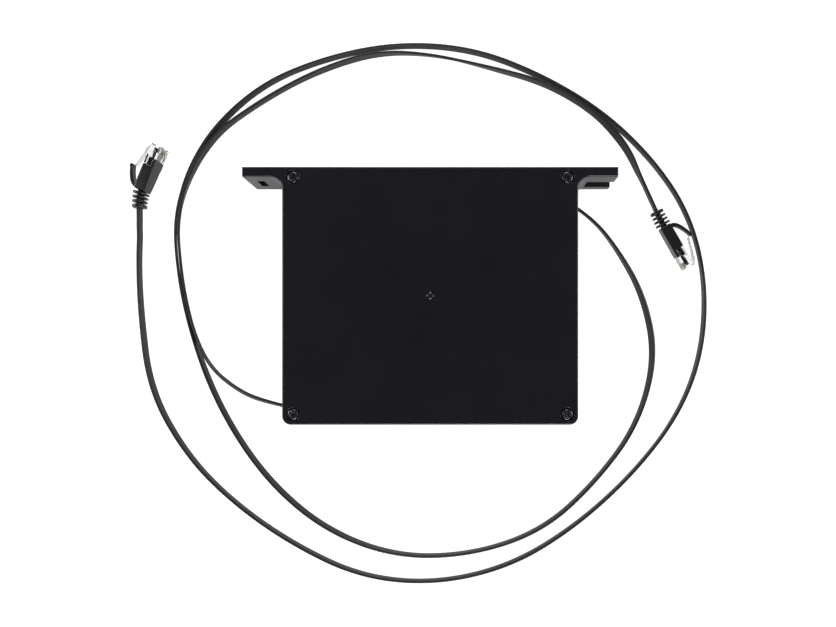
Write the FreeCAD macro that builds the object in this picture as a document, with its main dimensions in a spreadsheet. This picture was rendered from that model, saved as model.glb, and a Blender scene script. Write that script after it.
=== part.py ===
import FreeCAD, Part
import math
import os
import Sketcher
from FreeCAD import Placement, Rotation, Vector

# Spring-return reel for a flat network lead, lying on its back with the lead pulled out.
# Frame: origin at the middle of the back face, +Z towards the cover, +Y towards the mounting flange.

os.makedirs("parts", exist_ok=True)
doc = FreeCAD.newDocument("lead_reel")

# ---------------------------------------------------------------- driving dimensions (mm)
sheet = doc.addObject("Spreadsheet::Sheet", "Sizes")
SIZES = {
    "box_width": 184.4, "box_height": 160.6, "box_depth": 31.0, "cover_thick": 3.0, "wall": 2.5,
    "flange_span": 234.4, "flange_thick": 6.1, "inside_corner": 7.5, "outside_corner": 5.5,
    "cover_edge": 1.0, "screw_x": 85.4, "screw_y": 73.8, "boss_half": 4.2,
    "slot_x": -108.7, "slot_width": 4.6, "slot_low": 8.2, "slot_high": 19.6,
    "notch_start": 99.9, "notch_low": 5.7, "notch_high": 17.7,
    "thread_radius": 1.5, "clear_radius": 1.7, "head_radius": 3.9, "head_recess": 1.5,
    "centre_head_radius": 2.3, "centre_recess": 0.8,
    "axle_radius": 3.5, "running_gap": 0.05, "axle_boss_radius": 7.0, "axle_boss_top": 4.4,
    "washer_thick": 0.45, "washer_radius": 6.5, "clip_thick": 0.8, "clip_radius": 5.5,
    "reel_low": 4.9, "flange_low": 7.8, "flange_sheet": 1.4, "reel_radius": 68.0,
    "hub_radius": 28.0, "hub_wall": 2.0, "middle_low": 15.8, "upper_low": 23.8,
    "pack_gap": 0.2, "long_pack_radius": 46.0, "short_pack_radius": 40.0,
    "spring_inner": 4.2, "spring_outer": 24.8, "spring_strip": 0.5, "spring_low": 10.2,
    "spring_high": 23.2, "tooth_tip": 25.0, "tooth_root": 22.5, "ratchet_inner": 20.0,
    "ratchet_low": 5.2, "pawl_x": 31.5, "pawl_y": -9.0, "pawl_low": 5.3, "pawl_high": 7.5,
    "pawl_pin_radius": 1.5, "roller_x": 80.0, "roller_y": 61.5, "roller_radius": 3.6,
    "roller_low": 4.0, "roller_high": 26.5, "roller_pin_radius": 1.4,
    "bush_width": 9.0, "bush_tall": 10.0, "bush_proud": 1.0, "lead_radius": 1.3,
    "right_exit_y": 60.2, "right_exit_z": 12.0, "right_exit_turn": -32.0,
    "left_exit_y": -69.3, "left_exit_z": 20.5, "left_exit_turn": 168.0,
    "boot_length": 17.2, "boot_tongue": 22.0, "boot_half_tall": 3.6, "boot_half_wide": 6.0,
    "tongue_thick": 1.95, "neck_length": 11.0, "neck_radius": 2.6, "rib_thick": 1.4, "rib_pitch": 2.6,
    "plug_rear": 9.8, "plug_shoulder": 17.5, "plug_tip": 31.3, "plug_half_tall": 3.3,
    "plug_half_wide": 5.84, "tail_top": 2.4, "tail_half_wide": 4.8, "fit_gap": 0.05,
    "contact_pitch": 1.02,
}
for row, (alias, number) in enumerate(SIZES.items(), start=1):
    sheet.set(f"A{row}", alias)
    sheet.set(f"B{row}", str(number))
    sheet.setAlias(f"B{row}", alias)
doc.recompute()

sub_parts = []


def expression(text):
    """Turn plain alias names into spreadsheet references."""
    words = str(text)
    for alias in sorted(SIZES, key=len, reverse=True):
        words = words.replace(alias, "@" + str(list(SIZES).index(alias)) + "@")
    for index, alias in enumerate(SIZES):
        words = words.replace(f"@{index}@", f"Sizes.{alias}")
    return words


def size(text):
    """The number that an expression on the sheet gives now."""
    return float(sheet.evalExpression(expression(text).replace("Sizes.", "")))


def keep(thing, label):
    thing.Label = label
    sub_parts.append(thing)
    return thing


# ---------------------------------------------------------------- bodies and sketches
def new_body(label):
    return keep(doc.addObject("PartDesign::Body", label), label)


def sketch_on(body, name, role, height="0"):
    """A sketch on one of the body's own origin planes, lifted by an expression."""
    sketch = body.newObject("Sketcher::SketchObject", name)
    plane = next(item for item in body.Origin.OriginFeatures if item.Role == role)
    sketch.AttachmentSupport = [(plane, "")]
    sketch.MapMode = "FlatFace"
    sketch.setExpression("AttachmentOffset.Base.z", expression(height))
    return sketch


def hold(sketch, kind, item, end, text):
    """Fix one coordinate of a point of the sketch at an expression."""
    value = size(text)
    if abs(value) < 1e-9:
        axis_line = -2 if kind == "DistanceX" else -1
        sketch.addConstraint(Sketcher.Constraint("PointOnObject", item, end, axis_line))
        return
    first, second = (-1, 1), (item, end)
    if value < 0:
        first, second = second, first
    number = sketch.addConstraint(Sketcher.Constraint(kind, *first, *second, abs(value)))
    sign = "-" if value < 0 else ""
    sketch.setExpression(f"Constraints[{number}]", f"{sign}({expression(text)})")


def add_polygon(sketch, corners):
    """A closed outline of straight lines; every corner is a pair of expressions."""
    points = [Vector(size(x), size(y), 0) for x, y in corners]
    start = len(sketch.Geometry)
    count = len(points)
    for index in range(count):
        sketch.addGeometry(Part.LineSegment(points[index], points[(index + 1) % count]), False)
    for index in range(count):
        following = start + (index + 1) % count
        sketch.addConstraint(Sketcher.Constraint("Coincident", start + index, 2, following, 1))
    for index, (x, y) in enumerate(corners):
        hold(sketch, "DistanceX", start + index, 1, x)
        hold(sketch, "DistanceY", start + index, 1, y)


def add_rectangle(sketch, left, right, low, high):
    add_polygon(sketch, [(left, low), (right, low), (right, high), (left, high)])


def add_circle(sketch, x, y, radius):
    item = sketch.addGeometry(Part.Circle(Vector(size(x), size(y), 0), Vector(0, 0, 1), size(radius)), False)
    number = sketch.addConstraint(Sketcher.Constraint("Radius", item, size(radius)))
    sketch.setExpression(f"Constraints[{number}]", expression(radius))
    hold(sketch, "DistanceX", item, 3, x)
    hold(sketch, "DistanceY", item, 3, y)


def pad(body, sketch, length, both_ways=False):
    feature = body.newObject("PartDesign::Pad", sketch.Name + "_pad")
    feature.Profile = sketch
    feature.setExpression("Length", expression(length))
    if both_ways:
        feature.SideType = "Symmetric"
    doc.recompute()
    return feature


def pocket(body, sketch, length, both_ways=False):
    """Cut against the sketch's normal, and make sure that it removed something."""
    before = body.Shape.Volume
    feature = body.newObject("PartDesign::Pocket", sketch.Name + "_pocket")
    feature.Profile = sketch
    feature.setExpression("Length", expression(length))
    if both_ways:
        feature.SideType = "Symmetric"
    doc.recompute()
    if body.Shape.Volume >= before - 0.01:
        raise RuntimeError(f"{body.Label}: {sketch.Name} cut nothing")
    return feature


def revolve(body, sketch):
    feature = body.newObject("PartDesign::Revolution", sketch.Name + "_turned")
    feature.Profile = sketch
    feature.ReferenceAxis = (sketch, ["V_Axis"])
    feature.Angle = 360.0
    doc.recompute()
    return feature


def fillet(body, feature, chosen, radius):
    """Round the edges of a feature for which chosen(edge) is true."""
    names = [f"Edge{index + 1}" for index, edge in enumerate(feature.Shape.Edges) if chosen(edge)]
    rounded = body.newObject("PartDesign::Fillet", feature.Name + "_round")
    rounded.Base = (feature, names)
    rounded.setExpression("Radius", expression(radius))
    doc.recompute()
    return rounded


def is_upright(edge, x, y):
    """True for an edge along Z at plus or minus x and at y."""
    middle = edge.CenterOfMass
    across = edge.BoundBox.XLength + edge.BoundBox.YLength
    return across < 0.01 and abs(abs(middle.x) - x) < 0.01 and abs(middle.y - y) < 0.01


def add_tee(body, low, thickness):
    """The T outline that the rear housing and the cover share, with its corners rounded."""
    box = sketch_on(body, body.Label + "_box", "XY_Plane", low)
    add_rectangle(box, "-box_width/2", "box_width/2", "-box_height/2", "box_height/2")
    pad(body, box, thickness)
    flange = sketch_on(body, body.Label + "_flange", "XY_Plane", low)
    add_rectangle(flange, "-flange_span/2", "flange_span/2", "box_height/2-flange_thick", "box_height/2")
    whole = pad(body, flange, thickness)
    side = size("box_width/2")
    under = size("box_height/2-flange_thick")
    inner = fillet(body, whole, lambda edge: is_upright(edge, side, under), "inside_corner")
    bottom = size("-box_height/2")
    return fillet(body, inner, lambda edge: is_upright(edge, side, bottom), "outside_corner")


CORNERS = [(across, along) for across in ("-screw_x", "screw_x") for along in ("-screw_y", "screw_y")]


def add_corner_circles(sketch, radius):
    for x, y in CORNERS:
        add_circle(sketch, x, y, radius)


# ---------------------------------------------------------------- housing
def make_rear_housing():
    """Moulded tray: back, side walls, square screw bosses, axle boss and the flange."""
    body = new_body("rear_housing")
    add_tee(body, "0", "box_depth-cover_thick")
    room = sketch_on(body, "room", "XY_Plane", "box_depth-cover_thick")
    half_width, half_height = "(box_width/2-wall)", "(box_height/2-wall)"
    add_rectangle(room, "-" + half_width, half_width, "-" + half_height, half_height)
    pocket(body, room, "box_depth-cover_thick-wall")
    bosses = sketch_on(body, "bosses", "XY_Plane", "wall/2")
    for x_sign in ("-", ""):
        for y_sign in ("-", ""):
            # The four bosses run into the walls behind them.
            near_x = f"{x_sign}(screw_x-boss_half)"
            far_x = f"{x_sign}(box_width/2-wall/2)"
            near_y = f"{y_sign}(screw_y-boss_half)"
            far_y = f"{y_sign}(box_height/2-wall/2)"
            add_rectangle(bosses, near_x, far_x, near_y, far_y)
    pad(body, bosses, "box_depth-cover_thick-wall/2")
    centre = sketch_on(body, "axle_boss", "XY_Plane", "wall/2")
    add_circle(centre, "0", "0", "axle_boss_radius")
    pad(body, centre, "axle_boss_top-wall/2")
    seat = sketch_on(body, "axle_seat", "XY_Plane", "axle_boss_top")
    add_circle(seat, "0", "0", "axle_radius")
    pocket(body, seat, "axle_boss_top-wall")
    pilots = sketch_on(body, "pilots", "XY_Plane", "box_depth-cover_thick")
    add_corner_circles(pilots, "thread_radius")
    pocket(body, pilots, "16")
    slot = sketch_on(body, "flange_slot", "XZ_Plane", "-box_height/2")
    add_rectangle(slot, "slot_x-slot_width/2", "slot_x+slot_width/2", "slot_low", "slot_high")
    pocket(body, slot, "4*flange_thick", True)
    notch = sketch_on(body, "flange_notch", "XZ_Plane", "-box_height/2")
    add_rectangle(notch, "notch_start", "flange_span/2+1", "notch_low", "notch_high")
    pocket(body, notch, "4*flange_thick", True)
    for side, sign in (("right", ""), ("left", "-")):
        window = sketch_on(body, side + "_window", "YZ_Plane", f"{sign}box_width/2")
        low_y = f"{side}_exit_y-bush_width/2"
        low_z = f"{side}_exit_z-bush_tall/2"
        add_rectangle(window, low_y, low_y + "+bush_width", low_z, low_z + "+bush_tall")
        pocket(body, window, "3*wall", True)


def make_front_cover():
    """Flat moulded lid of the same outline, its front edge rounded and its screw seats sunk."""
    body = new_body("front_cover")
    outline = add_tee(body, "box_depth-cover_thick", "cover_thick")
    top = size("box_depth")
    front = lambda edge: edge.BoundBox.ZMin > top - 0.01
    fillet(body, outline, front, "cover_edge")
    seats = sketch_on(body, "seats", "XY_Plane", "box_depth")
    add_corner_circles(seats, "head_radius+0.3")
    pocket(body, seats, "head_recess")
    holes = sketch_on(body, "holes", "XY_Plane", "box_depth")
    add_corner_circles(holes, "clear_radius")
    add_circle(holes, "0", "0", "clear_radius")
    pocket(body, holes, "cover_thick")
    centre = sketch_on(body, "centre_seat", "XY_Plane", "box_depth")
    add_circle(centre, "0", "0", "centre_head_radius+0.2")
    pocket(body, centre, "centre_recess")


def cylinder(name, x, y, low, high, radius):
    part = doc.addObject("Part::Cylinder", name)
    part.setExpression("Radius", expression(radius))
    part.setExpression("Height", expression(f"({high})-({low})"))
    part.setExpression("Placement.Base.x", expression(x))
    part.setExpression("Placement.Base.y", expression(y))
    part.setExpression("Placement.Base.z", expression(low))
    return part


def joined(name, pieces):
    group = doc.addObject("Part::MultiFuse", name)
    group.Shapes = pieces
    return group


def ring(label, low, high, inner, outer, x="0", y="0"):
    """A washer, roller or winding: a cylinder with a round hole along Z."""
    outside = cylinder(label + "_outside", x, y, low, high, outer)
    inside = cylinder(label + "_inside", x, y, low, high, inner)
    part = doc.addObject("Part::Cut", label)
    part.Base = outside
    part.Tool = inside
    return keep(part, label)


def make_cover_screws():
    """Four pan-head screws from the cover into the corner bosses."""
    pieces = []
    for number, (x, y) in enumerate(CORNERS):
        seat = "box_depth-head_recess"
        shank = cylinder(f"screw_shank_{number}", x, y, "box_depth-16", seat, "thread_radius")
        head = cylinder(f"screw_head_{number}", x, y, seat, "box_depth+0.1", "head_radius")
        pieces += [shank, head]
    keep(joined("cover_screws", pieces), "cover_screws")


def make_centre_screw():
    """Small button-head screw that ties the cover to the axle post."""
    seat = "box_depth-centre_recess"
    shank = cylinder("centre_shank", "0", "0", "20", seat, "thread_radius")
    head = cylinder("centre_head", "0", "0", seat, "box_depth+0.4", "centre_head_radius")
    keep(joined("centre_screw", [shank, head]), "centre_screw")


def make_exit_bush(side, sign):
    """Moulded block in the side wall with a slanting way out for the lead."""
    block = doc.addObject("Part::Box", side + "_bush_block")
    block.setExpression("Length", expression("wall+bush_proud"))
    block.setExpression("Width", expression("bush_width"))
    block.setExpression("Height", expression("bush_tall"))
    start = "box_width/2-wall" if sign > 0 else "-box_width/2-bush_proud"
    block.setExpression("Placement.Base.x", expression(start))
    block.setExpression("Placement.Base.y", expression(f"{side}_exit_y-bush_width/2"))
    block.setExpression("Placement.Base.z", expression(f"{side}_exit_z-bush_tall/2"))
    bore = doc.addObject("Part::Cylinder", side + "_bush_bore")
    bore.setExpression("Radius", expression("lead_radius"))
    bore.Height = 30.0
    turn = size(f"{side}_exit_turn")
    heading = Vector(math.cos(math.radians(turn)), math.sin(math.radians(turn)), 0)
    wall_point = Vector(sign * size("box_width/2"), size(f"{side}_exit_y"), size(f"{side}_exit_z"))
    bore.Placement = Placement(wall_point - heading * 15.0, Rotation(Vector(0, 0, 1), heading))
    part = doc.addObject("Part::Cut", side + "_exit_bush")
    part.Base = block
    part.Tool = bore
    keep(part, side + "_exit_bush")


def make_axle_post():
    """Steel post that the reel turns on; it stands in the housing's boss and holds the cover."""
    body = new_body("axle_post")
    outline = sketch_on(body, "post_section", "XY_Plane", "wall")
    add_circle(outline, "0", "0", "axle_radius")
    pad(body, outline, "box_depth-cover_thick-wall")
    bore = sketch_on(body, "post_bore", "XY_Plane", "box_depth-cover_thick")
    add_circle(bore, "0", "0", "thread_radius")
    pocket(body, bore, "box_depth-cover_thick-19")


# ---------------------------------------------------------------- reel
def make_spool_core():
    """Turned profile of the moulded core: bearing, lower flange and hub wall."""
    body = new_body("spool_core")
    profile = sketch_on(body, "core_profile", "XZ_Plane")
    bearing = "axle_radius+running_gap"
    top = "flange_low+flange_sheet"
    inner_hub = "hub_radius-hub_wall"
    boss = "axle_boss_radius+0.5"
    corners = [(bearing, "reel_low"), (boss, "reel_low"), (boss, "flange_low"),
               ("reel_radius", "flange_low"), ("reel_radius", top), ("hub_radius", top),
               ("hub_radius", "upper_low"), (inner_hub, "upper_low"), (inner_hub, top), (bearing, top)]
    add_polygon(profile, corners)
    revolve(body, profile)


def make_mainspring():
    """Flat steel strip wound as a spiral of half circles, one end at the axle, one at the hub."""
    turns = 7
    inner, outer = size("spring_inner"), size("spring_outer")
    strip = size("spring_strip")
    pitch = (outer - strip - inner) / turns
    radius = inner + pitch / 4
    centre = 0.0
    sign = 1
    inside, outside = [], []
    for half in range(2 * turns):
        for arcs, extra in ((inside, 0.0), (outside, strip)):
            first = Vector(centre + sign * (radius + extra), 0, 0)
            middle = Vector(centre, sign * (radius + extra), 0)
            last = Vector(centre - sign * (radius + extra), 0, 0)
            arcs.append(Part.Arc(first, middle, last).toShape())
        centre += sign * pitch / 2
        radius += pitch / 2
        sign = -sign
    ends = [Part.LineSegment(inside[0].Vertexes[0].Point, outside[0].Vertexes[0].Point).toShape(),
            Part.LineSegment(inside[-1].Vertexes[-1].Point, outside[-1].Vertexes[-1].Point).toShape()]
    edges = Part.sortEdges(inside + outside + ends)[0]
    strip_face = Part.Face(Part.Wire(edges))
    low, high = size("spring_low"), size("spring_high")
    part = doc.addObject("Part::Feature", "mainspring")
    part.Shape = strip_face.extrude(Vector(0, 0, high - low))
    part.Placement = Placement(Vector(0, 0, low), Rotation())
    keep(part, "mainspring")


def make_ratchet_ring():
    """Saw-toothed ring under the lower flange."""
    teeth = 16
    first_tooth = 6.0
    body = new_body("ratchet_ring")
    outline = sketch_on(body, "ratchet_outline", "XY_Plane", "ratchet_low")
    corners = []
    for tooth in range(teeth):
        angle = math.radians(first_tooth + tooth * 360.0 / teeth)
        along, across = round(math.cos(angle), 6), round(math.sin(angle), 6)
        corners.append((f"tooth_root*({along})", f"tooth_root*({across})"))
        corners.append((f"tooth_tip*({along})", f"tooth_tip*({across})"))
    add_polygon(outline, corners)
    pad(body, outline, "flange_low-ratchet_low")
    middle = sketch_on(body, "ratchet_middle", "XY_Plane", "flange_low")
    add_circle(middle, "0", "0", "ratchet_inner")
    pocket(body, middle, "flange_low-ratchet_low")


def make_pawl():
    """Lever on its pin beside the ratchet ring, drawn swung clear of the teeth."""
    body = new_body("pawl")
    outline = sketch_on(body, "pawl_outline", "XY_Plane", "pawl_low")
    add_polygon(outline, [("25.9", "1.8"), ("28.4", "-8"), ("28.4", "-10.4"), ("30", "-12.1"),
                          ("33", "-12.1"), ("34.5", "-10.4"), ("34.5", "-7.6"), ("27.5", "2.9")])
    pad(body, outline, "pawl_high-pawl_low")
    eye = sketch_on(body, "pawl_eye", "XY_Plane", "pawl_high")
    add_circle(eye, "pawl_x", "pawl_y", "pawl_pin_radius+running_gap")
    pocket(body, eye, "pawl_high-pawl_low")
    pin = cylinder("pawl_pin", "pawl_x", "pawl_y", "wall", "flange_low-0.3", "pawl_pin_radius")
    keep(pin, "pawl_pin")
    spring = new_body("pawl_spring")
    leaf = sketch_on(spring, "leaf_outline", "XY_Plane", "wall")
    add_polygon(leaf, [("33.8", "6"), ("35.4", "6"), ("35.4", "-8.4"), ("35.8", "-8.4"), ("35.8", "6"),
                       ("37.4", "6"), ("37.4", "9"), ("33.8", "9")])
    pad(spring, leaf, "flange_low-0.5-wall")


# ---------------------------------------------------------------- plugs
PLUGS = {
    # side: middle of the boot's rear face, heading of the plug and roll about its own axis
    "left": (Vector(-191.0, 71.4, 6.4), 67.0, -2.0),
    "right": (Vector(152.7, 48.0, 6.65), -60.0, -9.0),
}


def plug_place(side):
    """Local X runs towards the plug's tip and local Y towards its latch."""
    origin, heading, roll = PLUGS[side]
    turn = Rotation(Vector(0, 0, 1), heading) * Rotation(Vector(1, 0, 0), -roll)
    return Placement(origin, turn)


def local_rectangle(body, name, start, end, low, high):
    sketch = sketch_on(body, f"{body.Label}_{name}", "XY_Plane")
    add_rectangle(sketch, start, end, low, high)
    return sketch


def make_plug_body(side):
    """Clear eight-way modular plug: a nose with eight blade slots and a narrower tail for the boot."""
    body = new_body(side + "_plug_body")
    outline = sketch_on(body, side + "_plug_outline", "XY_Plane")
    step = "boot_tongue+0.2"
    low = "-boot_half_tall+tongue_thick+fit_gap"
    add_polygon(outline, [("plug_rear", low), (step, low), (step, "-plug_half_tall"),
                          ("plug_tip", "-plug_half_tall"), ("plug_tip", "plug_half_tall"),
                          ("plug_shoulder", "plug_half_tall"), ("plug_shoulder", "tail_top"),
                          ("plug_rear", "tail_top")])
    pad(body, outline, "2*plug_half_wide", True)
    sides = sketch_on(body, side + "_tail_sides", "XZ_Plane")
    add_rectangle(sides, "plug_rear-1", "plug_shoulder", "tail_half_wide", "plug_half_wide+1")
    add_rectangle(sides, "plug_rear-1", "plug_shoulder", "-plug_half_wide-1", "-tail_half_wide")
    pocket(body, sides, "20", True)
    jacket_room = local_rectangle(body, "jacket_room", "plug_rear", "plug_rear+12.8", "-1.25", "2.05")
    pocket(body, jacket_room, "7.5", True)
    wedge_room = local_rectangle(body, "wedge_room", "plug_shoulder+0.4", "plug_rear+14", "-1.25", "2.85")
    pocket(body, wedge_room, "7.5", True)
    core_room = local_rectangle(body, "core_room", "plug_rear+12", "plug_tip-1.7", "-1.45", "1.15")
    pocket(body, core_room, "7.6", True)
    slots = sketch_on(body, side + "_blade_slots", "XZ_Plane", "plug_half_tall")
    for number in range(8):
        middle = f"({number}-3.5)*contact_pitch"
        add_rectangle(slots, "plug_tip-4.5", "plug_tip-0.6", middle + "-0.25", middle + "+0.25")
    # The XZ plane's normal is -Y, so the slots are sunk from the contact face up to the core room.
    pocket(body, slots, "plug_half_tall-1.3")
    body.Placement = plug_place(side)


def make_contacts(side):
    """Eight gold-plated blades, each standing in its slot."""
    pieces = []
    for number in range(8):
        blade = doc.addObject("Part::Box", f"{side}_blade_{number}")
        blade.Length = 3.4
        blade.Width = 1.4
        blade.Height = 0.3
        blade.setExpression("Placement.Base.x", expression("plug_tip-4.4"))
        blade.setExpression("Placement.Base.y", expression("-plug_half_tall+0.3"))
        blade.setExpression("Placement.Base.z", expression(f"({number}-3.5)*contact_pitch-0.15"))
        pieces.append(blade)
    group = keep(joined(side + "_contacts", pieces), side + "_contacts")
    group.Placement = plug_place(side)


def make_wires(side):
    """The end of the lead inside the plug: its jacket, the strain-relief wedge, and eight cores in two rows."""
    jacket = doc.addObject("Part::Box", side + "_jacket")
    jacket.Length = 12.2
    jacket.Width = 3.0
    jacket.Height = 7.2
    jacket.setExpression("Placement.Base.x", expression("plug_rear+0.4"))
    jacket.Placement.Base.y = -1.1
    jacket.Placement.Base.z = -3.6
    wedge = doc.addObject("Part::Box", side + "_wedge")
    wedge.Length = 5.3
    wedge.Width = 3.8
    wedge.Height = 7.2
    wedge.setExpression("Placement.Base.x", expression("plug_rear+8.4"))
    wedge.Placement.Base.y = -1.1
    wedge.Placement.Base.z = -3.6
    pieces = [jacket, wedge]
    for number in range(8):
        core = doc.addObject("Part::Cylinder", f"{side}_core_{number}")
        core.Radius = 0.42
        core.Height = 7.4
        middle = (number - 3.5) * size("contact_pitch")
        row = 0.55 if number % 2 else -0.85
        core.Placement = Placement(Vector(size("plug_rear+12.3"), row, middle * 0.8),
                                   Rotation(Vector(0, 0, 1), Vector(1, 0, 0)))
        pieces.append(core)
    group = keep(joined(side + "_wires", pieces), side + "_wires")
    group.Placement = plug_place(side)


def make_boot(side):
    """Moulded boot: a block round the plug's tail, a tongue along its contact face, a ribbed soft neck."""
    body = new_body(side + "_boot")
    block = local_rectangle(body, "block", "0", "boot_tongue", "-boot_half_tall", "boot_half_tall")
    whole = pad(body, block, "2*boot_half_wide", True)
    long_edges = lambda edge: edge.BoundBox.XLength > size("boot_tongue") - 0.01
    fillet(body, whole, long_edges, "0.6")
    neck = sketch_on(body, side + "_neck", "YZ_Plane", "-neck_length")
    add_circle(neck, "0", "0", "neck_radius")
    pad(body, neck, "neck_length+1")
    for number in range(4):
        rib = sketch_on(body, f"{side}_rib_{number}", "YZ_Plane", f"-neck_length+0.4+{number}*rib_pitch")
        add_circle(rib, "0", "0", f"4.4+0.23*{number}")
        pad(body, rib, "rib_thick")
    inside = "-boot_half_tall+tongue_thick"
    cut_back = local_rectangle(body, "cut_back", "boot_length", "boot_tongue+1", inside, "boot_half_tall+1")
    pocket(body, cut_back, "2*boot_half_wide+2", True)
    room = local_rectangle(body, "room", "plug_rear-0.4", "boot_length+1", inside, "tail_top+fit_gap")
    pocket(body, room, "2*tail_half_wide+2*fit_gap", True)
    body.Placement = plug_place(side)


def make_latch(side):
    """Springy tab hinged at the plug's nose and rising towards the boot."""
    body = new_body(side + "_latch")
    sketch = sketch_on(body, side + "_latch_outline", "XY_Plane")
    add_polygon(sketch, [("31.1", "3.7"), ("31", "4.4"), ("27.2", "6.9"), ("14.2", "10.2"), ("14", "9.1"),
                         ("26.8", "5.8"), ("30", "3.75")])
    pad(body, sketch, "6.4", True)
    sides = sketch_on(body, side + "_latch_sides", "XZ_Plane", "-15")
    for low, high in (("1.7", "3.4"), ("-3.4", "-1.7")):
        add_rectangle(sides, "13", "24.5", low, high)
    pocket(body, sides, "30", True)
    body.Placement = plug_place(side)


def make_guard(side):
    """Curved arm of the boot that covers the latch's free end."""
    body = new_body(side + "_guard")
    sketch = sketch_on(body, side + "_guard_outline", "XY_Plane")
    add_polygon(sketch, [("0.3", "3.95"), ("0.9", "6"), ("2.6", "8"), ("5.2", "9.6"), ("8", "10.8"),
                         ("11", "11.8"), ("14", "12.6"), ("14.3", "11.3"), ("11.4", "10.5"), ("8.6", "9.2"),
                         ("6.6", "7.4"), ("4.6", "5.2"), ("2.4", "4.2")])
    pad(body, sketch, "5.5", True)
    body.Placement = plug_place(side)


# ---------------------------------------------------------------- leads
# Each route is a list of points in millimetres, from the bush to just inside the boot's neck.
LONG_ROUTE = [
    (90, 61.6, 12), (104, 52.8, 12), (121, 33, 9.2), (139, 4, 5), (148.5, -36, 3.1),
    (136.5, -82.5, 3.1), (108, -121, 3.1), (73.5, -152.5, 3.1), (28, -168.5, 3.1), (-22, -170.5, 3.1),
    (-69, -153.5, 3.1), (-107.5, -121.5, 3.1), (-137, -79, 3.1), (-156.5, -33, 3.1), (-168.8, 14, 3.1),
    (-171.6, 62, 3.1), (-151, 107, 3.1), (-114.9, 142, 3.1), (-70.1, 160.6, 3.1), (-22, 169.8, 3.1),
    (27.2, 166.3, 3.1), (72, 149, 3.1), (113, 124.5, 3.1), (146.5, 92.5, 3.1), (170.2, 57, 3.1),
    (181.2, 14, 3.1), (179.2, -34, 3.1), (163.5, -76, 3.1), (133, -115.5, 3.1), (94, -150.8, 3.1),
    (51.3, -176.6, 3.1), (2, -188, 3.1), (-47, -183.5, 3.1), (-91.5, -162.4, 3.1),
    (-130.6, -135.3, 3.1), (-162.2, -103.7, 3.1), (-187.2, -59.6, 3.1), (-193.5, -6, 3.1),
    (-194.8, 29, 3.1), (-194.5, 47.5, 4.4), (-194.2, 62.6, 6.3),
]
SHORT_ROUTE = [
    (-90, -69.8, 20.5), (-103.7, -66.9, 20.5), (-122, -60.8, 17.4), (-145.5, -42.5, 10.2),
    (-159.2, -10, 4.4), (-166.9, 32.9, 3.1), (-161.3, 77.1, 3.1), (-143.8, 107.8, 3.1),
    (-113, 132, 3.1), (-76, 152, 3.1), (-36.9, 164, 3.1), (1.8, 162.8, 3.1), (39.8, 153.6, 3.1),
    (74.5, 142.7, 3.1), (106.3, 123.6, 3.1), (128, 101.5, 3.1), (139, 78.2, 4.4), (148.2, 56.3, 6.6),
]


def make_lead(label, route):
    """A round tube along straight runs joined by tangent arcs."""
    points = [Vector(*place) for place in route]
    edges = []
    start = points[0]
    radii = []
    for before, corner, after in zip(points, points[1:], points[2:]):
        run_in, run_out = corner - before, after - corner
        turn = run_in.getAngle(run_out)
        reach = 0.45 * min(run_in.Length, run_out.Length)
        radius = reach / math.tan(turn / 2)
        radii.append(radius)
        run_in.normalize()
        run_out.normalize()
        arc_start, arc_end = corner - run_in * reach, corner + run_out * reach
        inwards = (run_out - run_in).normalize()
        centre = corner + inwards * (radius / math.cos(turn / 2))
        middle = centre - inwards * radius
        edges.append(Part.LineSegment(start, arc_start).toShape())
        edges.append(Part.Arc(arc_start, middle, arc_end).toShape())
        start = arc_end
    edges.append(Part.LineSegment(start, points[-1]).toShape())
    path = Part.Wire(edges)
    radius = size("lead_radius")
    circle = Part.makeCircle(radius, points[0], points[1] - points[0])
    part = doc.addObject("Part::Feature", label)
    part.Shape = path.makePipeShell([Part.Wire([circle])], True, False)
    expected = math.pi * radius ** 2 * path.Length
    print(label, "length", round(path.Length, 1), "smallest arc", round(min(radii), 1),
          "volume over section x length", round(part.Shape.Volume / expected, 4))
    keep(part, label)


# ---------------------------------------------------------------- build
make_rear_housing()
make_front_cover()
make_cover_screws()
make_centre_screw()
make_exit_bush("right", 1)
make_exit_bush("left", -1)
make_axle_post()
ring("lower_washer", "axle_boss_top", "axle_boss_top+washer_thick", "axle_radius", "washer_radius")
washer_low = "(upper_low+flange_sheet+running_gap)"
ring("upper_washer", washer_low, washer_low + "+washer_thick", "axle_radius", "washer_radius")
clip_low = washer_low + "+washer_thick"
ring("retaining_clip", clip_low, clip_low + "+clip_thick", "axle_radius", "clip_radius")
make_spool_core()
ring("middle_flange", "middle_low", "middle_low+flange_sheet", "hub_radius", "reel_radius")
ring("upper_flange", "upper_low", "upper_low+flange_sheet", "axle_radius+running_gap", "reel_radius")
wound_low = "flange_low+flange_sheet+pack_gap"
ring("wound_long_lead", wound_low, "middle_low-pack_gap", "hub_radius", "long_pack_radius")
coil_low = "middle_low+flange_sheet+pack_gap"
ring("coiled_short_lead", coil_low, "upper_low-pack_gap", "hub_radius", "short_pack_radius")
make_mainspring()
make_ratchet_ring()
make_pawl()
for corner, sign_word in (("right", ""), ("left", "-")):
    roller_x, roller_y = sign_word + "roller_x", sign_word + "roller_y"
    pin_name = corner + "_roller_pin"
    keep(cylinder(pin_name, roller_x, roller_y, "wall", "box_depth-cover_thick", "roller_pin_radius"), pin_name)
    ring(corner + "_roller", "roller_low", "roller_high", "roller_pin_radius+running_gap", "roller_radius",
         roller_x, roller_y)
for plug_side in PLUGS:
    make_plug_body(plug_side)
    make_contacts(plug_side)
    make_wires(plug_side)
    make_boot(plug_side)
    make_latch(plug_side)
    make_guard(plug_side)
make_lead("long_lead", LONG_ROUTE)
make_lead("short_lead", SHORT_ROUTE)

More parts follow.
